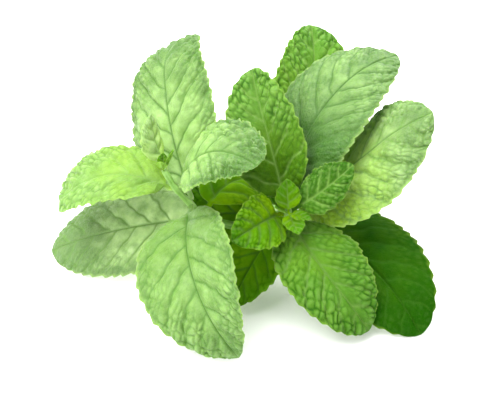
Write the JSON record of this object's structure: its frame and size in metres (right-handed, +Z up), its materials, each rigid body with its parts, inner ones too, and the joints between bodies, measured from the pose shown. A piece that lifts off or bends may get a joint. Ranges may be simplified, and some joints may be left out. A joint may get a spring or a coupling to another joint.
{
  "type": "mint sprig",
  "caption": "Cut, branched sprig of garden mint lying on a surface: square stem, two heads of toothed oval leaves in opposite pairs.",
  "frame": {"origin": "centre of the sprig's footprint on the surface that it lies on", "axes": "+Z up from the surface, -Y the front that the two heads face, +Y the cut end of the stem, +X to the right head"},
  "size_m": [0.1169, 0.0983, 0.0664],
  "materials": {
    "stem": "fresh green stem, faintly glossy, finely hairy",
    "leaf": "fresh mint leaf, matt with a soft sheen, quilted",
    "young_leaf": "young mint leaf, bright yellow-green, quilted"
  },
  "bodies": {
    "root": {"stem": "stem", "left_back_leaf": "leaf", "left_front_leaf": "leaf", "left_outer_leaf": "leaf", "left_inner_leaf": "leaf", "left_low_leaf": "leaf", "shaded_leaf": "leaf", "left_young_leaf": "young_leaf", "young_right_leaf": "young_leaf", "young_left_leaf": "young_leaf", "upright_leaf": "leaf", "right_front_leaf": "leaf", "right_back_leaf": "leaf", "low_centre_leaf": "leaf", "fork_leaf": "leaf", "right_outer_leaf": "leaf", "tall_back_leaf": "leaf", "right_low_leaf": "leaf", "main_bud": "young_leaf", "side_bud": "young_leaf"}
  },
  "joints": []
}
